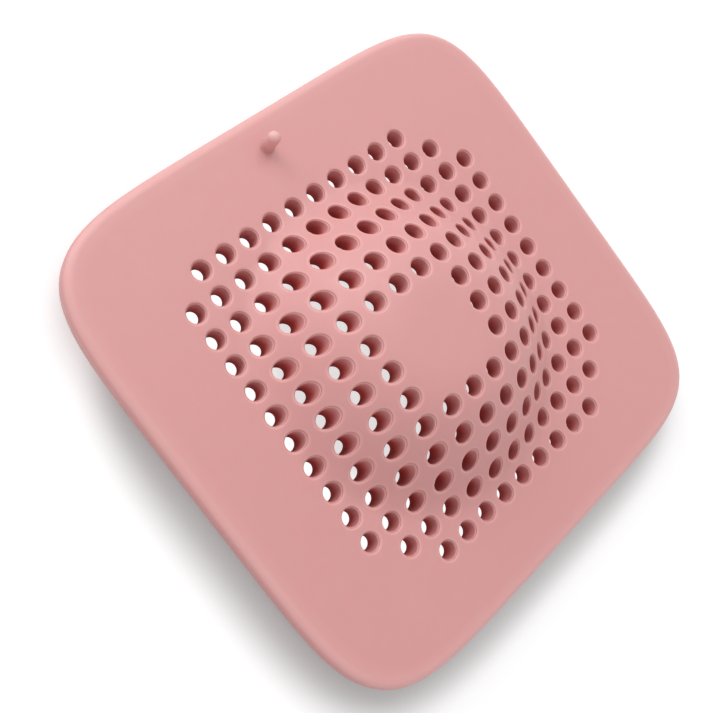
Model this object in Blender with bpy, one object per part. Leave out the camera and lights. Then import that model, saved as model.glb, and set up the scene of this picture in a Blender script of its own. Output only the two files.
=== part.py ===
"""Drain protector: a soft, nearly square strainer with a perforated dome and four suction cups.

The strainer plate lies over a shower drain. Its low dome is pierced by a square grid of round
holes, which let the water through and hold the hair back. A lift nub stands on the flange near
one edge, and four suction cups on short necks under the corners hold the plate to the floor.

Frame: metres, +Z up. The floor is z = 0, where the rims of the cups stand, and the outline of
the plate is centred on x = y = 0. The lift nub is on the +Y side, which is called the back.
"""

import math

import bmesh
import bpy
from mathutils import Vector

# Strainer plate: length along X, width along Y, wall, exponent of the outline's superellipse and
# edge rounding
PLATE_LENGTH = 0.140
PLATE_WIDTH = 0.134
PLATE_THICKNESS = 0.0060
OUTLINE_POWER_SHARE = 6.1
TOP_EDGE_RADIUS = 0.0024
BOTTOM_EDGE_RADIUS = 0.0012

# Grid of holes: a square of pierced cells that lies a little off the plate's middle along Y, with
# some cells bare at each corner, and a solid land on the crown
HOLE_PITCH = 0.0074
HOLE_DIAMETER = 0.0042
HOLE_COUNT = 13
GRID_SHIFT = -0.0020
LAND_COUNT = 3
LAND_SHIFT_COUNT = -1
CORNER_CUT_COUNTS = {(-1, -1): 2, (1, -1): 2, (1, 1): 2, (-1, 1): 1}

# Dome: height over the flange, flat crown, the flat margin between its foot and the grid's edge,
# its shift in pitches, and the power that moves the steepest part of its flank towards the foot
DOME_HEIGHT = 0.0192
DOME_CROWN_RADIUS = 0.0040
DOME_FOOT_MARGIN = 0.0004
DOME_SHIFT_SHARE = -0.5
DOME_BULGE_SHARE = 1.75

# Lift nub: a round-tipped peg with a small flare at its foot
NUB_DIAMETER = 0.0033
NUB_HEIGHT = 0.0066
NUB_FLARE_RADIUS = 0.0004
NUB_EDGE_DISTANCE = 0.0087
NUB_SHIFT = -0.0034

# Suction cups: shallow bells on short round necks
CUP_DIAMETER = 0.0180
CUP_HEIGHT = 0.0030
CUP_WALL = 0.0009
CUP_RIM_HEIGHT = 0.0006
CUP_RIM_WIDTH = 0.0012
CUP_EDGE_DISTANCE = 0.0200
NECK_DIAMETER = 0.0070
NECK_HEIGHT = 0.0016

# Clearance that stands for each moulded joint face between two pieces
JOINT_GAP = 0.0003

# Mesh fineness
OUTLINE_STEPS = 80
HOLE_STEPS = 12
TURN_STEPS = 24
ARC_STEPS = 4
EDGE_STEPS = 3
MERGE_DISTANCE = 0.000001
SMOOTH_ANGLE = math.radians(35)

# Heights and places that follow from the sizes above
NECK_BOTTOM = CUP_HEIGHT + JOINT_GAP
PLATE_BOTTOM = NECK_BOTTOM + NECK_HEIGHT + JOINT_GAP
PLATE_TOP = PLATE_BOTTOM + PLATE_THICKNESS
GRID_HALF = HOLE_PITCH * HOLE_COUNT / 2
DOME_X = HOLE_PITCH * DOME_SHIFT_SHARE
DOME_FOOT_RADIUS = GRID_HALF - abs(DOME_X) - DOME_FOOT_MARGIN
CUP_X = PLATE_LENGTH / 2 - CUP_EDGE_DISTANCE
CUP_Y = PLATE_WIDTH / 2 - CUP_EDGE_DISTANCE
CORNERS = {
    "front_left": (-1, -1),
    "front_right": (1, -1),
    "back_right": (1, 1),
    "back_left": (-1, 1),
}

# Silicone colours, linear
PLATE_PINK = (0.710, 0.352, 0.345, 1.0)
NUB_PINK = (0.740, 0.385, 0.375, 1.0)
NECK_PINK = (0.660, 0.310, 0.305, 1.0)
CUP_PINK = (0.690, 0.335, 0.330, 1.0)
SILICONE_ROUGHNESS = 0.48


def clear_scene():
    """Removes every object, so that the script can run again in the same file."""
    for old in list(bpy.data.objects):
        bpy.data.objects.remove(old, do_unlink=True)


def silicone(name, colour):
    """A matte silicone material of one colour."""
    material = bpy.data.materials.new(name)
    material.use_nodes = True
    shader = material.node_tree.nodes["Principled BSDF"]
    shader.inputs["Base Color"].default_value = colour
    shader.inputs["Roughness"].default_value = SILICONE_ROUGHNESS
    shader.inputs["Metallic"].default_value = 0.0
    return material


def add_object(name, shape, colour, place=(0.0, 0.0, 0.0)):
    """Turns a finished bmesh into a named object with its own material."""
    bmesh.ops.recalc_face_normals(shape, faces=shape.faces)
    mesh = bpy.data.meshes.new(name)
    shape.to_mesh(mesh)
    shape.free()
    mesh.shade_smooth()
    mesh.set_sharp_from_angle(angle=SMOOTH_ANGLE)
    mesh.materials.append(silicone(name + "_silicone", colour))
    piece = bpy.data.objects.new(name, mesh)
    piece.location = place
    bpy.context.scene.collection.objects.link(piece)
    return piece


def arc(centre, radii, start, end, steps):
    """Points (radius, height) of an elliptic arc, from start to end in degrees, both included."""
    points = []
    for step in range(steps + 1):
        angle = math.radians(start + (end - start) * step / steps)
        points.append((centre[0] + radii[0] * math.cos(angle), centre[1] + radii[1] * math.sin(angle)))
    return points


def turned(profile):
    """A closed body turned about Z from a profile that starts and ends on the axis."""
    shape = bmesh.new()
    points = [shape.verts.new((radius, 0.0, height)) for radius, height in profile]
    edges = [shape.edges.new(pair) for pair in zip(points, points[1:])]
    bmesh.ops.spin(
        shape,
        geom=points + edges,
        cent=(0.0, 0.0, 0.0),
        axis=(0.0, 0.0, 1.0),
        angle=2 * math.pi,
        steps=TURN_STEPS,
        use_merge=True,
    )
    bmesh.ops.remove_doubles(shape, verts=shape.verts, dist=MERGE_DISTANCE)
    return shape


def dome(x, y):
    """Rise of the dome over the flange at a point, and how steep it is there."""
    run = DOME_FOOT_RADIUS - DOME_CROWN_RADIUS
    along = (math.hypot(x - DOME_X, y - GRID_SHIFT) - DOME_CROWN_RADIUS) / run
    along = min(max(along, 0.0), 1.0)
    power = DOME_BULGE_SHARE
    bent = along**power
    rise = DOME_HEIGHT * (1 - bent * bent * (3 - 2 * bent))
    slope = DOME_HEIGHT * 6 * bent * (1 - bent) * power * along ** (power - 1) / run
    return rise, slope


def top_point(x, y):
    """Point of the plate's upper surface."""
    rise, slope = dome(x, y)
    return Vector((x, y, PLATE_TOP + rise))


def bottom_point(x, y):
    """Point of the lower surface, which keeps the wall's thickness square to the slope."""
    rise, slope = dome(x, y)
    height = PLATE_TOP + rise - PLATE_THICKNESS * math.hypot(1, slope)
    return Vector((x, y, max(height, PLATE_BOTTOM)))


def outline_point(step, inset):
    """Point of the plate's outline, a superellipse, moved inwards along its normal."""
    angle = 2 * math.pi * step / OUTLINE_STEPS
    power = OUTLINE_POWER_SHARE
    unit = []
    for part in (math.cos(angle), math.sin(angle)):
        unit.append(math.copysign(abs(part) ** (2 / power), part))
    slopes = [math.copysign(abs(part) ** (power - 1), part) for part in unit]
    normal = Vector((slopes[0] / PLATE_LENGTH, slopes[1] / PLATE_WIDTH))
    place = Vector((unit[0] * PLATE_LENGTH / 2, unit[1] * PLATE_WIDTH / 2))
    return place - normal.normalized() * inset


def has_hole(column, row):
    """Whether a cell of the grid is pierced."""
    last = HOLE_COUNT - 1
    for (side_x, side_y), cut in CORNER_CUT_COUNTS.items():
        columns_in = column if side_x < 0 else last - column
        rows_in = row if side_y < 0 else last - row
        if columns_in + rows_in < cut:
            return False
    middle = last / 2
    on_land_column = abs(column - middle - LAND_SHIFT_COUNT) < LAND_COUNT / 2
    on_land_row = abs(row - middle) < LAND_COUNT / 2
    return not (on_land_column and on_land_row)


def fill_cell(shape, corners, ring, upward):
    """One face of a cell: two triangles, or fans from its corners to the ring of its hole."""
    faces = []
    if not ring:
        faces = [(corners[0], corners[1], corners[2]), (corners[0], corners[2], corners[3])]
    quarter = len(ring) // 4
    for side in range(4 if ring else 0):
        corner = corners[side]
        for step in range(side * quarter, (side + 1) * quarter):
            faces.append((corner, ring[(step + 1) % len(ring)], ring[step]))
        faces.append((corner, corners[(side + 1) % 4], ring[(side + 1) * quarter % len(ring)]))
    for face in faces:
        shape.faces.new(face if upward else tuple(reversed(face)))


def add_grid(shape, point_at, upward):
    """The grid's square of cells on one surface, its boundary loop and the rings of its holes."""
    count = HOLE_COUNT
    knots = {}
    for column in range(count + 1):
        for row in range(count + 1):
            x = column * HOLE_PITCH - GRID_HALF
            y = row * HOLE_PITCH - GRID_HALF + GRID_SHIFT
            knots[column, row] = shape.verts.new(point_at(x, y))
    rings = []
    for column in range(count):
        for row in range(count):
            ring = []
            if has_hole(column, row):
                centre_x = (column + 1 / 2) * HOLE_PITCH - GRID_HALF
                centre_y = (row + 1 / 2) * HOLE_PITCH - GRID_HALF + GRID_SHIFT
                for step in range(HOLE_STEPS):
                    angle = 2 * math.pi * step / HOLE_STEPS
                    x = centre_x + HOLE_DIAMETER / 2 * math.cos(angle)
                    y = centre_y + HOLE_DIAMETER / 2 * math.sin(angle)
                    ring.append(shape.verts.new(point_at(x, y)))
                rings.append(ring)
            corners = [
                knots[column + 1, row + 1],
                knots[column, row + 1],
                knots[column, row],
                knots[column + 1, row],
            ]
            fill_cell(shape, corners, ring, upward)
    border = [knots[step, 0] for step in range(count)]
    border += [knots[count, step] for step in range(count)]
    border += [knots[count - step, count] for step in range(count)]
    border += [knots[0, count - step] for step in range(count)]
    return border, rings


def loop_edges(shape, loop):
    """The edges of a closed loop of vertices, made where they are missing."""
    edges = []
    for first, second in zip(loop, loop[1:] + loop[:1]):
        edges.append(shape.edges.get((first, second)) or shape.edges.new((first, second)))
    return edges


def bridge(shape, upper, lower):
    """A band of quads between two loops of equal count."""
    count = len(upper)
    for step in range(count):
        after = (step + 1) % count
        shape.faces.new((upper[step], upper[after], lower[after], lower[step]))


def edge_profile():
    """(inset, height) points round the plate's edge, from the top face to the bottom face."""
    top_centre = (TOP_EDGE_RADIUS, PLATE_TOP - TOP_EDGE_RADIUS)
    low_centre = (BOTTOM_EDGE_RADIUS, PLATE_BOTTOM + BOTTOM_EDGE_RADIUS)
    profile = arc(top_centre, (TOP_EDGE_RADIUS, TOP_EDGE_RADIUS), 90, 180, EDGE_STEPS)
    profile += arc(low_centre, (BOTTOM_EDGE_RADIUS, BOTTOM_EDGE_RADIUS), 180, 270, EDGE_STEPS)
    return profile


def make_strainer_plate():
    """Flange and perforated dome, one moulded sheet with rounded edges."""
    shape = bmesh.new()
    top_border, top_rings = add_grid(shape, top_point, True)
    bottom_border, bottom_rings = add_grid(shape, bottom_point, False)
    for top_ring, bottom_ring in zip(top_rings, bottom_rings):
        bridge(shape, top_ring, bottom_ring)
    loops = []
    for inset, height in edge_profile():
        points = [outline_point(step, inset) for step in range(OUTLINE_STEPS)]
        loops.append([shape.verts.new((point.x, point.y, height)) for point in points])
    for upper, lower in zip(loops, loops[1:]):
        bridge(shape, upper, lower)
    for border, rim in ((top_border, loops[0]), (bottom_border, loops[-1])):
        edges = loop_edges(shape, border) + loop_edges(shape, rim)
        bmesh.ops.triangle_fill(shape, edges=edges, use_beauty=True)
    add_object("strainer_plate", shape, PLATE_PINK)


def make_lift_nub():
    """Peg on the flange, by which the plate is peeled off the floor."""
    radius = NUB_DIAMETER / 2
    flare = (radius + NUB_FLARE_RADIUS, NUB_FLARE_RADIUS)
    profile = [(0.0, 0.0)]
    profile += arc(flare, (NUB_FLARE_RADIUS, NUB_FLARE_RADIUS), 270, 180, EDGE_STEPS)
    profile += arc((0.0, NUB_HEIGHT - radius), (radius, radius), 0, 90, ARC_STEPS)
    profile[-1] = (0.0, NUB_HEIGHT)
    place = (NUB_SHIFT, PLATE_WIDTH / 2 - NUB_EDGE_DISTANCE, PLATE_TOP + JOINT_GAP)
    add_object("lift_nub", turned(profile), NUB_PINK, place)


def make_cup_neck(corner, place):
    """Short round neck that carries one suction cup."""
    radius = NECK_DIAMETER / 2
    profile = [(0.0, NECK_HEIGHT), (radius, NECK_HEIGHT), (radius, 0.0), (0.0, 0.0)]
    add_object("cup_neck_" + corner, turned(profile), NECK_PINK, (place.x, place.y, NECK_BOTTOM))


def make_suction_cup(corner, place):
    """Shallow bell with a flat rim. Its origin is on the axis along which it is pressed flat."""
    radius = CUP_DIAMETER / 2
    top_radius = NECK_DIAMETER / 2
    flank = (radius - top_radius, CUP_HEIGHT - CUP_RIM_HEIGHT)
    hollow = (radius - CUP_RIM_WIDTH, CUP_HEIGHT - CUP_WALL)
    profile = [(0.0, CUP_HEIGHT)]
    profile += arc((top_radius, CUP_RIM_HEIGHT), flank, 90, 0, ARC_STEPS)
    profile += [(radius, 0.0)]
    profile += arc((0.0, 0.0), hollow, 0, 90, ARC_STEPS)
    profile[-1] = (0.0, CUP_HEIGHT - CUP_WALL)
    add_object("suction_cup_" + corner, turned(profile), CUP_PINK, (place.x, place.y, 0.0))


def main():
    clear_scene()
    make_strainer_plate()
    make_lift_nub()
    for corner, (side_x, side_y) in CORNERS.items():
        place = Vector((side_x * CUP_X, side_y * CUP_Y))
        make_cup_neck(corner, place)
        make_suction_cup(corner, place)


main()
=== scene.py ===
"""Looks of the drain protector: fine silicone surfaces, a pale floor, soft lamps and the camera.

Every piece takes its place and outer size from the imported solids. The strainer plate, the lift
nub, the cup necks and the suction cups are each made again as a fine mesh that lies where its
solid lies and rides on the same body. Metres, +Z up, the floor at z = 0.
"""

import math

import bmesh
import bpy
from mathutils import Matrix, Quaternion, Vector


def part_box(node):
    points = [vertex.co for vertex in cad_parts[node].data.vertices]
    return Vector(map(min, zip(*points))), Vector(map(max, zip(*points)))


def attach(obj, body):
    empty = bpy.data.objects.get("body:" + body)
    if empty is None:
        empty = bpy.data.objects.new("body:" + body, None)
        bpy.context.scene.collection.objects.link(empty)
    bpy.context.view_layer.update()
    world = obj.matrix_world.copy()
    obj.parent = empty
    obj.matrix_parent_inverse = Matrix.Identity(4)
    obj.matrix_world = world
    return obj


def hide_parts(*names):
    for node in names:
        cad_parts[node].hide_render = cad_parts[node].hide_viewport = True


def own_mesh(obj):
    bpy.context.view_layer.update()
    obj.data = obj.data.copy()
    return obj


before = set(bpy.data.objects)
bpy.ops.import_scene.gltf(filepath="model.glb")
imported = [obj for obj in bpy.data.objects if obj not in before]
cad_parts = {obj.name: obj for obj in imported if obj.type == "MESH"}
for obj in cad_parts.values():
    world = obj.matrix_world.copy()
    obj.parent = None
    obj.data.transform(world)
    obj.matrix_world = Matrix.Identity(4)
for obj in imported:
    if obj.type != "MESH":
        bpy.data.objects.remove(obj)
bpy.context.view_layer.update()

# Sizes that the solids' boxes give
PLATE_LOW, PLATE_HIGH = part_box("strainer_plate")
NUB_LOW, NUB_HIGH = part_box("lift_nub")
PLATE_LENGTH = PLATE_HIGH.x - PLATE_LOW.x
PLATE_WIDTH = PLATE_HIGH.y - PLATE_LOW.y
PLATE_BOTTOM = PLATE_LOW.z

# Strainer plate, as its solid has it: a superellipse with rounded edges
PLATE_THICKNESS = 0.0060
PLATE_TOP = PLATE_BOTTOM + PLATE_THICKNESS
OUTLINE_POWER = 6.1
TOP_EDGE_RADIUS = 0.0024
BOTTOM_EDGE_RADIUS = 0.0012

# Grid of holes, as the solid has it. The shift moves the grid and the dome along Y. The solid land,
# its shift along X and the cuts at the corners, by their sides of X and Y, are counted in cells
HOLE_PITCH = 0.0074
HOLE_DIAMETER = 0.0042
HOLE_COUNT = 13
GRID_HALF = HOLE_PITCH * HOLE_COUNT / 2
GRID_SHIFT = -0.0020
LAND_COUNT = 3
LAND_SHIFT_COUNT = -1
CORNER_CUT_COUNTS = {(-1, -1): 2, (1, -1): 2, (1, 1): 2, (-1, 1): 1}

# Dome, as the solid has it. Its shift along X is a share of the pitch
DOME_HEIGHT = PLATE_HIGH.z - PLATE_TOP
DOME_CROWN_RADIUS = 0.0040
DOME_FOOT_MARGIN = 0.0004
DOME_SHIFT_SHARE = -0.5
DOME_BULGE = 1.75
DOME_X = HOLE_PITCH * DOME_SHIFT_SHARE
DOME_FOOT_RADIUS = GRID_HALF - abs(DOME_X) - DOME_FOOT_MARGIN

# Mouth of a hole: a wide shallow lip, a small step and a second lip, each lip as (width, depth).
# The bore's radius is more than its solid's by the flare at the top, and less by the taper below
MOUTH_LIP = (0.00075, 0.00038)
STEP_WIDTH = 0.00005
BORE_LIP = (0.00015, 0.00045)
BORE_FLARE = 0.00018
BORE_TAPER = 0.00026
BOTTOM_LIP = (0.00030, 0.00030)

# How finely the plate's mesh is cut. A ring's share is how far its form goes from the hole's circle
# to the cell's border, and a flange loop's share how far it lies from the grid to the plate's edge.
# The last loop of the flange lies a little inside the place where the edge's rounding starts
LIP_STEPS = 5
BOTTOM_LIP_STEPS = 3
WALL_STEPS = 4
CELL_STEPS = 6
CELL_RING_SHARES = (0.5, 0.2)
FLANGE_LOOP_SHARES = (0.12, 0.25, 0.40, 0.55, 0.70, 0.85, 1.0)
EDGE_SUPPORT = 0.0003
EDGE_STEPS = 8

# Painted highlight and painted shade on the plate's lines, from 1, full painted highlight, to -1, full
# painted shade
MOUTH_HIGHLIGHT = 0.45
CREASE_SHADE = -1.0
CREASE_POINT_COUNT = 2
BORE_HIGHLIGHT = 0.5
FLANGE_HIGHLIGHT = 0.20

# How much painted light the plate's edge has by the share of the way round it, from the top face to
# the
# bottom face: a band of painted highlight where the rounding starts, and painted shade down the side
EDGE_PAINTED_LIGHT_SHARES = (
    (0.0, 0.30),
    (0.10, 0.65),
    (0.24, 0.65),
    (0.33, -0.10),
    (0.42, -0.35),
    (0.50, -0.50),
    (1.0, -0.60),
)

# Nub: the flare of its foot, and how far it runs down into the plate. It has a painted highlight from
# the tip's share of its height upwards, and painted shade below the foot's share
NUB_FLARE_RADIUS = 0.0004
NUB_ROOT = 0.0003
NUB_TIP_HIGHLIGHT = 1.0
NUB_TIP_SHARE = 0.25
NUB_TIP_POWER = 2
NUB_FOOT_SHADE = -0.7
NUB_FOOT_SHARE = 0.16

# Necks and suction cups
NECK_DIAMETER = 0.0070
NECK_FILLET_RADIUS = 0.0006
CUP_WALL = 0.0009
CUP_RIM_HEIGHT = 0.0006
CUP_RIM_WIDTH = 0.0012
CUP_EDGE_RADIUS = 0.0002
CORNERS = ("front_left", "front_right", "back_right", "back_left")

# How finely turned pieces are cut, and the angle from which an edge is shaded sharp
TURN_STEPS = 64
TIP_STEPS = 12
FILLET_STEPS = 6
BELL_STEPS = 24
CUP_EDGE_STEPS = 4
SMOOTH_ANGLE = math.radians(40)

# Silicone colours, linear
PLATE_PINK = (0.682, 0.322, 0.314)
NUB_PINK = (0.725, 0.355, 0.345)
NECK_PINK = (0.665, 0.308, 0.300)
CUP_PINK = (0.672, 0.315, 0.307)
# Colours of painted light: a painted highlight on edges and lips, painted shade in creases, and
# painted shade deep in the holes
HIGHLIGHT_PINK = (0.785, 0.432, 0.418)
CREASE_SHADE_PINK = (0.530, 0.210, 0.202)
PORE_SHADE_PINK = (0.620, 0.100, 0.090)

# Depths in a hole between which painted shade darkens its wall from the surface's colour to the
# darkest
PORE_START = 0.0007
PORE_END = 0.0052
PORE_POWER = 1.5

# How the silicone's surface varies. Scales are in repeats for each metre
CLOUD_SCALE = 28.0
CLOUD_DETAIL = 2.0
CLOUD_DEPTH = 0.030
MOTTLE_SCALE = 420.0
MOTTLE_DETAIL = 3.0
MOTTLE_DEPTH = 0.044
MOTTLE_SHARE = 0.5
GRAIN_SCALE = 3600.0
GRAIN_DETAIL = 2.0
GRAIN_HEIGHT = 0.000012
WAVE_SCALE = 60.0
WAVE_DETAIL = 1.0
WAVE_HEIGHT = 0.00006
ROUGHNESS = (0.43, 0.55)
ROUGHNESS_MOTTLE_LIMITS = (0.3, 0.7)

# How the silicone takes light
SILICONE_IOR = 1.41
SPECULAR_LEVEL = 0.9
SUBSURFACE_WEIGHT = 0.40
NUB_SUBSURFACE_WEIGHT = 0.18
SUBSURFACE_SCALE = 0.0014
SUBSURFACE_RADIUS = (1.0, 0.35, 0.30)
SHEEN_WEIGHT = 0.05
SHEEN_ROUGHNESS = 0.45
SHEEN_TINT = (1.0, 0.88, 0.87, 1.0)

# Camera: where it stands, the point it looks at, its roll and its lens
CAMERA_PLACE = Vector((-0.12145, 0.02287, 0.21302))
CAMERA_AIM = Vector((-0.01825, 0.00427, 0.01120))
CAMERA_ROLL = math.radians(62.35)
CAMERA_LENS_MM = 47.25
CAMERA_CLIP_START = 0.01
SENSOR_MM = 36.0

# Light: the world's strength and the backdrop's, a low key lamp beyond the edge with the nub, and a
# higher fill lamp beyond the back right corner
WHITE = (1.0, 1.0, 1.0, 1.0)
AMBIENT_STRENGTH = 0.655
BACKDROP_STRENGTH = 1.0
LAMP_DISTANCE = 1.20
LAMP_SIZE = 0.70
KEY_AZIMUTH = math.radians(96)
KEY_ELEVATION = math.radians(30)
KEY_POWER = 4.75
FILL_AZIMUTH = math.radians(54)
FILL_ELEVATION = math.radians(58)
FILL_POWER = 3.55

# Floor: its half side, its albedo and its own white, which is full beyond the second far radius
FLOOR_HALF = 3.0
FLOOR_MIDDLE = (0.0, 0.0)
FLOOR_ALBEDO = 0.80
FLOOR_WHITE = 0.30
FAR_WHITE = 1.0
FAR_RADII = (0.20, 0.70)
ROUND_POWER = 2.0

# Floor under the plate and close to it: a darker superellipse of painted shadow, which starts to fade
# at a share of its halves, and a faint glow for the plate's underside
NEAR_SHADOW_ALBEDO = 0.50
NEAR_SHADOW_WHITE = 0.17
UNDER_GLOW = 0.15
NEAR_CENTRE = (-0.0029, -0.0142)
NEAR_HALVES = (0.0815, 0.0681)
NEAR_START_SHARE = 0.838
NEAR_POWER = 4.0

# Patch of the floor that the camera sees through the holes: painted light, white though it lies in the
# plate's shadow, and painted shade, greyer under the dome
PATCH_CENTRE = (-0.0035, -0.0005)
PATCH_HALF = 0.0510
PATCH_POWER = 4.0
PATCH_FADE = 0.003
PATCH_WHITE = 1.0
PATCH_DOME_SHADE_WHITE = 0.70
PATCH_DOME_RADII = (0.031, 0.038)


def arc(centre, radii, start, end, steps):
    """Points (radius, height) of an elliptic arc, from start to end in degrees, both included."""
    points = []
    for step in range(steps + 1):
        angle = math.radians(start + (end - start) * step / steps)
        points.append((centre[0] + radii[0] * math.cos(angle), centre[1] + radii[1] * math.sin(angle)))
    return points


def dome(x, y):
    """Rise of the dome over the flange at a point, and how steep it is there."""
    run = DOME_FOOT_RADIUS - DOME_CROWN_RADIUS
    along = (math.hypot(x - DOME_X, y - GRID_SHIFT) - DOME_CROWN_RADIUS) / run
    along = min(max(along, 0.0), 1.0)
    bent = along**DOME_BULGE
    rise = DOME_HEIGHT * (1 - bent * bent * (3 - 2 * bent))
    slope = DOME_HEIGHT * 6 * bent * (1 - bent) * DOME_BULGE * along ** (DOME_BULGE - 1) / run
    return rise, slope


def top_height(x, y):
    """Height of the plate's upper surface."""
    return PLATE_TOP + dome(x, y)[0]


def bottom_height(x, y):
    """Height of the lower surface, which keeps the wall's thickness square to the slope."""
    rise, slope = dome(x, y)
    return max(PLATE_TOP + rise - PLATE_THICKNESS * math.hypot(1, slope), PLATE_BOTTOM)


def has_hole(column, row):
    """Whether a cell of the grid is pierced."""
    last = HOLE_COUNT - 1
    for (side_x, side_y), cut in CORNER_CUT_COUNTS.items():
        columns_in = column if side_x < 0 else last - column
        rows_in = row if side_y < 0 else last - row
        if columns_in + rows_in < cut:
            return False
    middle = last / 2
    on_land_column = abs(column - middle - LAND_SHIFT_COUNT) < LAND_COUNT / 2
    on_land_row = abs(row - middle) < LAND_COUNT / 2
    return not (on_land_column and on_land_row)


def bridge(shape, outer, inner):
    """A band of quads between two loops of equal count."""
    count = len(outer)
    for step in range(count):
        after = (step + 1) % count
        shape.faces.new((outer[step], outer[after], inner[after], inner[step]))


def cell_border():
    """Lattice steps from a cell's low corner to the points of its border, from its high corner on."""
    count = CELL_STEPS
    border = [(count - step, count) for step in range(count)]
    border += [(0, count - step) for step in range(count)]
    border += [(step, 0) for step in range(count)]
    border += [(count, step) for step in range(count)]
    return border


def lip(out, drop, size, steps):
    """Points (distance outside the bore, depth, painted highlight) of a lip, from flat to upright."""
    points = []
    for step in range(steps + 1):
        angle = math.pi / 2 * step / steps
        place = (out + size[0] * (1 - math.sin(angle)), drop + size[1] * (1 - math.cos(angle)))
        points.append(place + (math.sin(2 * angle),))
    return points


def mouth_profile():
    """The two lips of a hole's mouth, with painted highlights on them and painted shade as a dark
    crease at the step between them.
    """
    outer = []
    for out, drop, light in lip(BORE_FLARE + BORE_LIP[0] + STEP_WIDTH, 0.0, MOUTH_LIP, LIP_STEPS):
        outer.append((out, drop, light * MOUTH_HIGHLIGHT))
    for step in range(-CREASE_POINT_COUNT, 0):
        outer[step] = outer[step][:2] + (CREASE_SHADE,)
    inner = lip(BORE_FLARE, MOUTH_LIP[1] + STEP_WIDTH, BORE_LIP, LIP_STEPS)
    inner[0] = inner[0][:2] + (BORE_HIGHLIGHT,)
    return outer + inner


def pore_shade_share(drop):
    """How far painted shade has darkened a point of a hole's wall from the surface's colour."""
    return min(max((drop - PORE_START) / (PORE_END - PORE_START), 0.0), 1.0) ** PORE_POWER


class Surface:
    """One side of the pierced sheet: its height, and its points on a lattice finer than the grid.

    Its mouth is the profile of its holes' mouths, and inwards is -1 where the sheet lies under it
    and 1 where the sheet lies over it.
    """

    def __init__(self, shape, height, mouth, inwards):
        self.shape = shape
        self.edge = shape.verts.layers.float["edge"]
        self.height = height
        self.mouth = mouth
        self.inwards = inwards
        self.knots = {}

    def point(self, x, y, drop=0.0, light=0.0):
        """A point of the surface, or one that lies deeper in a hole's mouth, with its painted
        highlight or shade.
        """
        vert = self.shape.verts.new((x, y, self.height(x, y) + drop * self.inwards))
        vert[self.edge] = light
        return vert

    def knot(self, i, j):
        """The shared point at a place of the lattice."""
        if (i, j) not in self.knots:
            pitch = HOLE_PITCH / CELL_STEPS
            self.knots[i, j] = self.point(i * pitch - GRID_HALF, j * pitch - GRID_HALF + GRID_SHIFT)
        return self.knots[i, j]

    def ring(self, column, row, radius, share=0.0, drop=0.0, light=0.0):
        """Points round a hole: a circle, or at a share above zero a form between it and the cell."""
        centre_x = (column + 1 / 2) * HOLE_PITCH - GRID_HALF
        centre_y = (row + 1 / 2) * HOLE_PITCH - GRID_HALF + GRID_SHIFT
        border = cell_border()
        points = []
        for step, (i, j) in enumerate(border):
            angle = math.pi / 4 + 2 * math.pi * step / len(border)
            square_x = (i / CELL_STEPS - 1 / 2) * HOLE_PITCH
            square_y = (j / CELL_STEPS - 1 / 2) * HOLE_PITCH
            x = (1 - share) * radius * math.cos(angle) + share * square_x
            y = (1 - share) * radius * math.sin(angle) + share * square_y
            points.append(self.point(centre_x + x, centre_y + y, drop, light))
        return points

    def pierced_cell(self, column, row):
        """The cell's face round its hole, and the mouth. Returns the loop where the wall starts."""
        loop = [self.knot(column * CELL_STEPS + i, row * CELL_STEPS + j) for i, j in cell_border()]
        hole_radius = HOLE_DIAMETER / 2
        rings = [(hole_radius + self.mouth[0][0], share, 0.0, 0.0) for share in CELL_RING_SHARES]
        rings += [(hole_radius + out, 0.0, drop, light) for out, drop, light in self.mouth]
        for radius, share, drop, light in rings:
            inner = self.ring(column, row, radius, share, drop, light)
            bridge(self.shape, loop, inner)
            loop = inner
        return loop

    def plain_cell(self, column, row):
        """A cell with no hole, as a lattice of quads."""
        for i in range(column * CELL_STEPS, (column + 1) * CELL_STEPS):
            for j in range(row * CELL_STEPS, (row + 1) * CELL_STEPS):
                corners = ((i, j), (i + 1, j), (i + 1, j + 1), (i, j + 1))
                self.shape.faces.new([self.knot(*corner) for corner in corners])

    def border(self):
        """The outer loop of the grid."""
        count = HOLE_COUNT * CELL_STEPS
        places = [(step, 0) for step in range(count)]
        places += [(count, step) for step in range(count)]
        places += [(count - step, count) for step in range(count)]
        places += [(0, count - step) for step in range(count)]
        return [self.knot(*place) for place in places]


def add_bore(shape, first, last):
    """The wall of a hole between the loops where its two mouths end, with painted shade that deepens
    with its depth.
    """
    pore_shade = shape.verts.layers.float["pore_shade"]
    loops = [first]
    for step in range(1, WALL_STEPS):
        share = step / WALL_STEPS
        loops.append([shape.verts.new(high.co.lerp(low.co, share)) for high, low in zip(first, last)])
    loops.append(last)
    for loop in loops:
        for vert in loop:
            vert[pore_shade] = pore_shade_share(top_height(*vert.co.xy) - vert.co.z)
    for upper, lower in zip(loops, loops[1:]):
        bridge(shape, upper, lower)


def outline_point(angle, inset):
    """Point of the plate's outline in a direction, moved inwards along the outline's normal."""
    power = OUTLINE_POWER
    halves = (PLATE_LENGTH / 2, PLATE_WIDTH / 2)
    way = (math.cos(angle), math.sin(angle))
    distance = sum(abs(part / half) ** power for part, half in zip(way, halves)) ** (-1 / power)
    place = Vector(way) * distance
    slopes = []
    for part, half in zip(place, halves):
        slopes.append(math.copysign(abs(part / half) ** (power - 1), part) / half)
    return place - Vector(slopes).normalized() * inset


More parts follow.
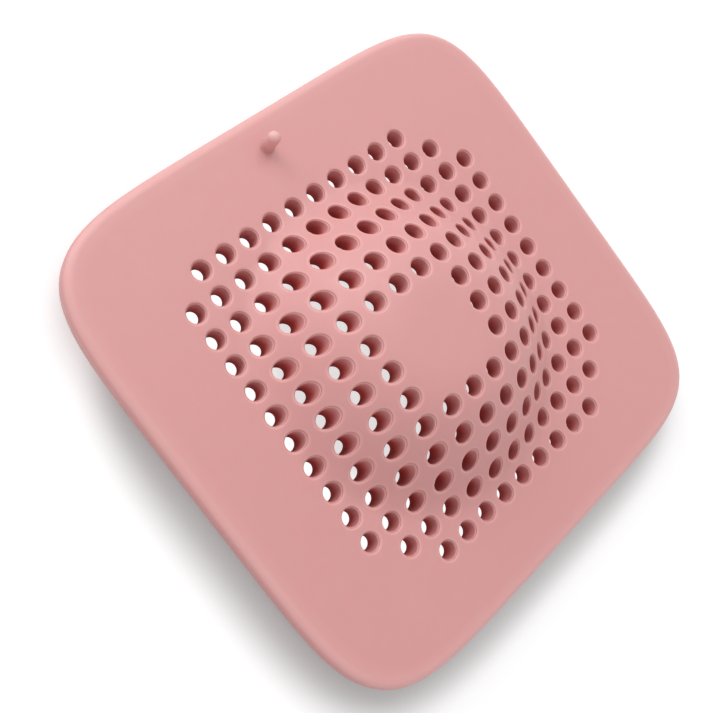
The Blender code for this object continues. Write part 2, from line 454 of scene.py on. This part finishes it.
def flange_loops(shape, border, inset, height, light=0.0):
    """Bands from the grid's border towards the plate's rounded edge, the last loop with its painted
    highlight. Returns the last loop.
    """
    edge = shape.verts.layers.float["edge"]
    loop = border
    for share in FLANGE_LOOP_SHARES:
        after = []
        for knot in border:
            start = knot.co.xy
            rim = outline_point(math.atan2(start.y, start.x), inset + EDGE_SUPPORT)
            place = start.lerp(rim, share)
            after.append(shape.verts.new((place.x, place.y, height)))
        bridge(shape, loop, after)
        loop = after
    for vert in loop:
        vert[edge] = light
    return loop


def edge_painted_light(share):
    """How much painted highlight or painted shade the plate's edge has at a share of the way round it.
    """
    for (start, before), (end, after) in zip(EDGE_PAINTED_LIGHT_SHARES, EDGE_PAINTED_LIGHT_SHARES[1:]):
        if share <= end:
            return before + (after - before) * (share - start) / (end - start)
    return EDGE_PAINTED_LIGHT_SHARES[-1][1]


def edge_profile():
    """Points (inset, height) round the plate's edge, from the top face to the bottom face."""
    top_centre = (TOP_EDGE_RADIUS, PLATE_TOP - TOP_EDGE_RADIUS)
    low_centre = (BOTTOM_EDGE_RADIUS, PLATE_BOTTOM + BOTTOM_EDGE_RADIUS)
    profile = arc(top_centre, (TOP_EDGE_RADIUS, TOP_EDGE_RADIUS), 90, 180, EDGE_STEPS)
    profile += arc(low_centre, (BOTTOM_EDGE_RADIUS, BOTTOM_EDGE_RADIUS), 180, 270, EDGE_STEPS)
    return profile


def add_flange(shape, top_border, bottom_border):
    """The flange round the grid, on both sides, and the rounded edge between them, with its painted
    highlight and shade.
    """
    edge = shape.verts.layers.float["edge"]
    rim = flange_loops(shape, top_border, TOP_EDGE_RADIUS, PLATE_TOP, FLANGE_HIGHLIGHT)
    angles = [math.atan2(vert.co.y, vert.co.x) for vert in top_border]
    profile = edge_profile()
    for step, (inset, height) in enumerate(profile):
        points = [outline_point(angle, inset) for angle in angles]
        after = [shape.verts.new((point.x, point.y, height)) for point in points]
        for vert in after:
            vert[edge] = edge_painted_light(step / (len(profile) - 1))
        bridge(shape, rim, after)
        rim = after
    bridge(shape, rim, flange_loops(shape, bottom_border, BOTTOM_EDGE_RADIUS, PLATE_BOTTOM))


def strainer_mesh():
    """The pierced sheet with its dome, flange, rounded edge and rounded holes."""
    shape = bmesh.new()
    # The edge layer holds painted highlight, above 0, and painted shade, below 0; the other layer
    # holds painted shade deep in the holes
    shape.verts.layers.float.new("edge")
    shape.verts.layers.float.new("pore_shade")
    bottom_mouth = lip(-BORE_TAPER, 0.0, BOTTOM_LIP, BOTTOM_LIP_STEPS)
    top = Surface(shape, top_height, mouth_profile(), -1)
    bottom = Surface(shape, bottom_height, bottom_mouth, 1)
    for column in range(HOLE_COUNT):
        for row in range(HOLE_COUNT):
            if has_hole(column, row):
                upper = top.pierced_cell(column, row)
                lower = bottom.pierced_cell(column, row)
                add_bore(shape, upper, lower)
            else:
                top.plain_cell(column, row)
                bottom.plain_cell(column, row)
    add_flange(shape, top.border(), bottom.border())
    return shape


def turned(profile):
    """A closed body turned about Z from a profile whose first and last points are on the axis."""
    shape = bmesh.new()
    loops = []
    for radius, height in profile[1:-1]:
        loop = []
        for step in range(TURN_STEPS):
            angle = 2 * math.pi * step / TURN_STEPS
            loop.append(shape.verts.new((radius * math.cos(angle), radius * math.sin(angle), height)))
        loops.append(loop)
    for outer, inner in zip(loops, loops[1:]):
        bridge(shape, outer, inner)
    for point, loop in ((profile[0], loops[0]), (profile[-1], loops[-1])):
        pole = shape.verts.new((0.0, 0.0, point[1]))
        for step in range(TURN_STEPS):
            shape.faces.new((pole, loop[step], loop[(step + 1) % TURN_STEPS]))
    return shape


def nub_mesh():
    """Round-tipped peg whose flared foot runs down into the plate, with a painted highlight on its tip
    and painted shade at its foot.
    """
    height = NUB_HIGH.z - PLATE_TOP
    flare = NUB_FLARE_RADIUS
    radius = (NUB_HIGH.x - NUB_LOW.x) / 2 - flare
    profile = [(0.0, -NUB_ROOT), (radius + flare, -NUB_ROOT)]
    profile += arc((radius + flare, flare), (flare, flare), 270, 180, FILLET_STEPS)
    profile += arc((0.0, height - radius), (radius, radius), 0, 90, TIP_STEPS)
    profile[-1] = (0.0, height)
    shape = turned(profile)
    # The edge layer holds the painted highlight on the tip and the painted shade at the foot
    edge = shape.verts.layers.float.new("edge")
    for vert in shape.verts:
        share = vert.co.z / height
        tip = (max(share - NUB_TIP_SHARE, 0.0) / (1 - NUB_TIP_SHARE)) ** NUB_TIP_POWER
        foot = min(max(NUB_FOOT_SHARE - share, 0.0) / NUB_FOOT_SHARE, 1.0)
        vert[edge] = NUB_TIP_HIGHLIGHT * tip + NUB_FOOT_SHADE * foot
    return shape


def neck_mesh(height):
    """Short neck with a fillet at the plate and another at the cup."""
    radius = NECK_DIAMETER / 2
    fillet = NECK_FILLET_RADIUS
    profile = [(0.0, height)]
    profile += arc((radius + fillet, height - fillet), (fillet, fillet), 90, 180, FILLET_STEPS)
    profile += arc((radius + fillet, fillet), (fillet, fillet), 180, 270, FILLET_STEPS)
    profile += [(0.0, 0.0)]
    return turned(profile)


def cup_mesh(radius, height):
    """Shallow bell with a thin rounded rim and a smooth hollow."""
    top_radius = NECK_DIAMETER / 2 + NECK_FILLET_RADIUS
    flank = (radius - top_radius, height - CUP_RIM_HEIGHT)
    hollow = (radius - CUP_RIM_WIDTH, height - CUP_WALL)
    edge = CUP_EDGE_RADIUS
    profile = [(0.0, height)]
    profile += arc((top_radius, CUP_RIM_HEIGHT), flank, 90, 0, BELL_STEPS)
    profile += arc((radius - edge, edge), (edge, edge), 0, -90, CUP_EDGE_STEPS)
    profile += arc((0.0, 0.0), hollow, 0, 90, BELL_STEPS)
    profile[-1] = (0.0, height - CUP_WALL)
    return turned(profile)


def put(tree, socket, value):
    """Links an output to a socket, or sets the socket's own value."""
    if isinstance(value, bpy.types.NodeSocket):
        tree.links.new(value, socket)
    else:
        socket.default_value = value


def calculate(tree, operation, first, second=0.0):
    """The output of one sum of two sockets or numbers."""
    node = tree.nodes.new("ShaderNodeMath")
    node.operation = operation
    put(tree, node.inputs[0], first)
    put(tree, node.inputs[1], second)
    return node.outputs[0]


def between(tree, value, low, high, start=0.0, end=1.0):
    """A smooth step: start where the value is low or less, end where it is high or more."""
    node = tree.nodes.new("ShaderNodeMapRange")
    node.interpolation_type = "SMOOTHSTEP"
    names = ("Value", "From Min", "From Max", "To Min", "To Max")
    for name, number in zip(names, (value, low, high, start, end)):
        put(tree, node.inputs[name], number)
    return node.outputs["Result"]


def eased(tree, share, start, end):
    """A smooth step from start, at a share of 0, to end, at a share of 1."""
    return between(tree, share, 0.0, 1.0, start, end)


def noise(tree, place, scale, detail):
    """Cloudy noise from 0 to 1 over the object's own coordinates."""
    node = tree.nodes.new("ShaderNodeTexNoise")
    tree.links.new(place, node.inputs["Vector"])
    node.inputs["Scale"].default_value = scale
    node.inputs["Detail"].default_value = detail
    return node.outputs["Fac"]


def tinted(tree, share, first, second):
    """A mix of two colours."""
    node = tree.nodes.new("ShaderNodeMix")
    node.data_type = "RGBA"
    put(tree, node.inputs["Factor"], share)
    put(tree, node.inputs["A"], first)
    put(tree, node.inputs["B"], second)
    return node.outputs["Result"]


def attribute(tree, name):
    """A number that the mesh holds at its points."""
    node = tree.nodes.new("ShaderNodeAttribute")
    node.attribute_name = name
    return node.outputs["Fac"]


def opaque(colour):
    """A colour with its alpha."""
    return tuple(colour) + (1.0,)


def shaded(colour, change):
    """A colour made lighter or darker by a share, with its alpha."""
    return opaque(part * (1 + change) for part in colour)


def relief(tree, height, distance, normal=None):
    """A bump of a real height over the surface or over another bump."""
    node = tree.nodes.new("ShaderNodeBump")
    node.inputs["Distance"].default_value = distance
    tree.links.new(height, node.inputs["Height"])
    if normal:
        tree.links.new(normal, node.inputs["Normal"])
    return node.outputs["Normal"]


def silicone_colour(tree, colour, clouds, mottle):
    """The silicone's colour, cloudy and mottled, with painted highlights on edges, painted shade in
    creases and painted shade deep in the holes.
    """
    cloudy = tinted(tree, clouds, shaded(colour, -CLOUD_DEPTH), shaded(colour, CLOUD_DEPTH))
    mottled = tinted(tree, mottle, shaded(colour, -MOTTLE_DEPTH), shaded(colour, MOTTLE_DEPTH))
    surface = tinted(tree, MOTTLE_SHARE, cloudy, mottled)
    # Painted highlight and painted shade from the edge layer, and painted shade deep in the holes from
    # the other layer
    edge = attribute(tree, "edge")
    light = calculate(tree, "MAXIMUM", edge, 0.0)
    dark = calculate(tree, "MULTIPLY", calculate(tree, "MINIMUM", edge, 0.0), -1.0)
    highlighted = tinted(tree, light, surface, opaque(HIGHLIGHT_PINK))
    crease_shaded = tinted(tree, dark, highlighted, opaque(CREASE_SHADE_PINK))
    return tinted(tree, attribute(tree, "pore_shade"), crease_shaded, opaque(PORE_SHADE_PINK))


def silicone(name, colour, subsurface=SUBSURFACE_WEIGHT):
    """Matte moulded silicone with a fine grain over faint waves."""
    material = bpy.data.materials.new(name)
    material.use_nodes = True
    tree = material.node_tree
    place = tree.nodes.new("ShaderNodeTexCoord").outputs["Object"]
    clouds = noise(tree, place, CLOUD_SCALE, CLOUD_DETAIL)
    mottle = noise(tree, place, MOTTLE_SCALE, MOTTLE_DETAIL)
    grain = noise(tree, place, GRAIN_SCALE, GRAIN_DETAIL)
    waves = relief(tree, noise(tree, place, WAVE_SCALE, WAVE_DETAIL), WAVE_HEIGHT)
    shader = tree.nodes["Principled BSDF"]
    tree.links.new(silicone_colour(tree, colour, clouds, mottle), shader.inputs["Base Color"])
    roughness = between(tree, mottle, *ROUGHNESS_MOTTLE_LIMITS, *ROUGHNESS)
    tree.links.new(roughness, shader.inputs["Roughness"])
    tree.links.new(relief(tree, grain, GRAIN_HEIGHT, waves), shader.inputs["Normal"])
    shader.inputs["IOR"].default_value = SILICONE_IOR
    shader.inputs["Specular IOR Level"].default_value = SPECULAR_LEVEL
    shader.inputs["Subsurface Weight"].default_value = subsurface
    shader.inputs["Subsurface Scale"].default_value = SUBSURFACE_SCALE
    shader.inputs["Subsurface Radius"].default_value = SUBSURFACE_RADIUS
    shader.inputs["Sheen Weight"].default_value = SHEEN_WEIGHT
    shader.inputs["Sheen Roughness"].default_value = SHEEN_ROUGHNESS
    shader.inputs["Sheen Tint"].default_value = SHEEN_TINT
    return material


def add_piece(name, shape, place, material, body, node):
    """Links a finished bmesh as a piece that stands for a node and rides on its body."""
    bmesh.ops.recalc_face_normals(shape, faces=shape.faces)
    bmesh.ops.translate(shape, verts=shape.verts, vec=place)
    mesh = bpy.data.meshes.new(name)
    shape.to_mesh(mesh)
    shape.free()
    mesh.shade_smooth()
    mesh.set_sharp_from_angle(angle=SMOOTH_ANGLE)
    mesh.materials.append(material)
    piece = bpy.data.objects.new(name, mesh)
    bpy.context.scene.collection.objects.link(piece)
    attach(piece, body)
    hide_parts(node)
    return piece


def add_pieces():
    """The fine pieces, each on the body of the solid that it stands for."""
    plate_silicone = silicone("plate_silicone", PLATE_PINK)
    nub_silicone = silicone("nub_silicone", NUB_PINK, NUB_SUBSURFACE_WEIGHT)
    neck_silicone = silicone("neck_silicone", NECK_PINK)
    cup_silicone = silicone("cup_silicone", CUP_PINK)
    origin = Vector((0.0, 0.0, 0.0))
    add_piece(
        "fine_strainer_plate", strainer_mesh(), origin, plate_silicone,
        "strainer", "strainer_plate",
    )
    nub_middle = (NUB_LOW + NUB_HIGH) / 2
    nub_place = Vector((nub_middle.x, nub_middle.y, PLATE_TOP))
    add_piece(
        "fine_lift_nub", nub_mesh(), nub_place, nub_silicone,
        "strainer", "lift_nub",
    )
    for corner in CORNERS:
        cup_low, cup_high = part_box("suction_cup_" + corner)
        middle = (cup_low + cup_high) / 2
        cup_top = Vector((middle.x, middle.y, cup_high.z))
        cup_foot = Vector((middle.x, middle.y, cup_low.z))
        add_piece(
            "fine_cup_neck_" + corner, neck_mesh(PLATE_BOTTOM - cup_high.z), cup_top, neck_silicone,
            "strainer", "cup_neck_" + corner,
        )
        cup = add_piece(
            "fine_suction_cup_" + corner, cup_mesh(cup_high.x - middle.x, cup_high.z), cup_foot,
            cup_silicone, "cup_" + corner, "suction_cup_" + corner,
        )
        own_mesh(cup)


def add_camera():
    """Camera at the photograph's angle."""
    data = bpy.data.cameras.new("camera")
    data.lens = CAMERA_LENS_MM
    data.sensor_width = SENSOR_MM
    data.clip_start = CAMERA_CLIP_START
    camera = bpy.data.objects.new("camera", data)
    bpy.context.scene.collection.objects.link(camera)
    camera.rotation_mode = "QUATERNION"
    camera.location = CAMERA_PLACE
    aim = (CAMERA_AIM - CAMERA_PLACE).to_track_quat("-Z", "Y")
    camera.rotation_quaternion = aim @ Quaternion((0, 0, 1), CAMERA_ROLL)
    bpy.context.scene.camera = camera


def backdrop_rays(tree):
    """1 for the rays that see the backdrop's own white: camera, glossy and transmission rays."""
    path = tree.nodes.new("ShaderNodeLightPath")
    rays = calculate(tree, "MAXIMUM", path.outputs["Is Camera Ray"], path.outputs["Is Glossy Ray"])
    return calculate(tree, "MAXIMUM", rays, path.outputs["Is Transmission Ray"])


def add_world():
    """Even white light from all round, and a white background."""
    world = bpy.data.worlds.new("studio")
    world.use_nodes = True
    tree = world.node_tree
    tree.nodes.clear()
    out = tree.nodes.new("ShaderNodeOutputWorld")
    light = tree.nodes.new("ShaderNodeBackground")
    light.inputs["Color"].default_value = WHITE
    light.inputs["Strength"].default_value = AMBIENT_STRENGTH
    backdrop = tree.nodes.new("ShaderNodeBackground")
    backdrop.inputs["Color"].default_value = WHITE
    backdrop.inputs["Strength"].default_value = BACKDROP_STRENGTH
    mix = tree.nodes.new("ShaderNodeMixShader")
    tree.links.new(backdrop_rays(tree), mix.inputs["Fac"])
    tree.links.new(light.outputs[0], mix.inputs[1])
    tree.links.new(backdrop.outputs[0], mix.inputs[2])
    tree.links.new(mix.outputs[0], out.inputs["Surface"])
    bpy.context.scene.world = world


def reach(tree, middle, power, halves=(1.0, 1.0)):
    """How far a point of the floor is from a middle, by a superellipse's measure.

    It is in metres, or where halves are given a share of them.
    """
    place = tree.nodes.new("ShaderNodeSeparateXYZ")
    tree.links.new(tree.nodes.new("ShaderNodeNewGeometry").outputs["Position"], place.inputs[0])
    parts = []
    for axis, centre, half in zip("XY", middle, halves):
        offset = calculate(tree, "ABSOLUTE", calculate(tree, "SUBTRACT", place.outputs[axis], centre))
        parts.append(calculate(tree, "POWER", calculate(tree, "DIVIDE", offset, half), power))
    return calculate(tree, "POWER", calculate(tree, "ADD", *parts), 1 / power)


def away_share(tree):
    """0 on the floor under the plate and close to it, where its shadow lies and painted shadow deepens
    it, and 1 further away.
    """
    near = reach(tree, NEAR_CENTRE, NEAR_POWER, NEAR_HALVES)
    return between(tree, near, NEAR_START_SHARE, 1.0)


def floor_glow(tree, away):
    """The floor's own white: less close to the plate, where it is painted shadow, full far off, and a
    patch of painted light under the holes.

    The patch is what the camera sees through the holes, white though the plate's shadow lies there,
    and painted shade makes it greyer under the dome. A faint glow under the plate keeps its underside
    from going black.
    """
    far_radius = reach(tree, FLOOR_MIDDLE, ROUND_POWER)
    far = between(tree, far_radius, *FAR_RADII, 0.0, FAR_WHITE - FLOOR_WHITE)
    plain = calculate(tree, "ADD", eased(tree, away, NEAR_SHADOW_WHITE, FLOOR_WHITE), far)
    patch_reach = reach(tree, PATCH_CENTRE, PATCH_POWER)
    outside = between(tree, patch_reach, PATCH_HALF, PATCH_HALF + PATCH_FADE)
    inside = calculate(tree, "SUBTRACT", 1.0, outside)
    dome_radius = reach(tree, (DOME_X, GRID_SHIFT), ROUND_POWER)
    white = between(tree, dome_radius, *PATCH_DOME_RADII, PATCH_DOME_SHADE_WHITE, PATCH_WHITE)
    path = tree.nodes.new("ShaderNodeLightPath").outputs
    seen_inside = calculate(tree, "MULTIPLY", path["Is Camera Ray"], inside)
    patch = calculate(tree, "MULTIPLY", seen_inside, white)
    around = calculate(tree, "MULTIPLY", outside, plain)
    seen = calculate(tree, "MULTIPLY", backdrop_rays(tree), calculate(tree, "ADD", patch, around))
    under = calculate(tree, "MULTIPLY", path["Is Diffuse Ray"], eased(tree, away, UNDER_GLOW, 0.0))
    return calculate(tree, "ADD", seen, under)


def floor_material():
    """Pale floor that keeps the object's shadow, deepened by painted shadow close to the plate, white
    in full light and clear from below.
    """
    material = bpy.data.materials.new("floor")
    material.use_nodes = True
    tree = material.node_tree
    tree.nodes.clear()
    out = tree.nodes.new("ShaderNodeOutputMaterial")
    away = away_share(tree)
    shadow_grey = opaque([NEAR_SHADOW_ALBEDO] * 3)
    away_grey = opaque([FLOOR_ALBEDO] * 3)
    diffuse = tree.nodes.new("ShaderNodeBsdfDiffuse")
    tree.links.new(tinted(tree, away, shadow_grey, away_grey), diffuse.inputs["Color"])
    glow = tree.nodes.new("ShaderNodeEmission")
    glow.inputs["Color"].default_value = WHITE
    tree.links.new(floor_glow(tree, away), glow.inputs["Strength"])
    above = tree.nodes.new("ShaderNodeAddShader")
    tree.links.new(diffuse.outputs[0], above.inputs[0])
    tree.links.new(glow.outputs[0], above.inputs[1])
    side = tree.nodes.new("ShaderNodeMixShader")
    tree.links.new(tree.nodes.new("ShaderNodeNewGeometry").outputs["Backfacing"], side.inputs["Fac"])
    tree.links.new(above.outputs[0], side.inputs[1])
    tree.links.new(tree.nodes.new("ShaderNodeBsdfTransparent").outputs[0], side.inputs[2])
    tree.links.new(side.outputs[0], out.inputs["Surface"])
    return material


def add_floor():
    """The floor that the cups stand on."""
    mesh = bpy.data.meshes.new("floor")
    half = FLOOR_HALF
    corners = [(-half, -half, 0), (half, -half, 0), (half, half, 0), (-half, half, 0)]
    mesh.from_pydata(corners, [], [(0, 1, 2, 3)])
    mesh.materials.append(floor_material())
    floor = bpy.data.objects.new("floor", mesh)
    bpy.context.scene.collection.objects.link(floor)


def add_lamp(name, azimuth, elevation, power):
    """Square soft lamp that faces the object's middle."""
    data = bpy.data.lights.new(name, "AREA")
    data.size = LAMP_SIZE
    data.energy = power
    lamp = bpy.data.objects.new(name, data)
    bpy.context.scene.collection.objects.link(lamp)
    flat = math.cos(elevation)
    away = Vector((math.cos(azimuth) * flat, math.sin(azimuth) * flat, math.sin(elevation)))
    lamp.location = away * LAMP_DISTANCE
    lamp.rotation_mode = "QUATERNION"
    lamp.rotation_quaternion = (-away).to_track_quat("-Z", "Y")


add_camera()
add_pieces()
add_world()
add_floor()
add_lamp("key", KEY_AZIMUTH, KEY_ELEVATION, KEY_POWER)
add_lamp("fill", FILL_AZIMUTH, FILL_ELEVATION, FILL_POWER)
bpy.context.scene.view_settings.view_transform = "Standard"
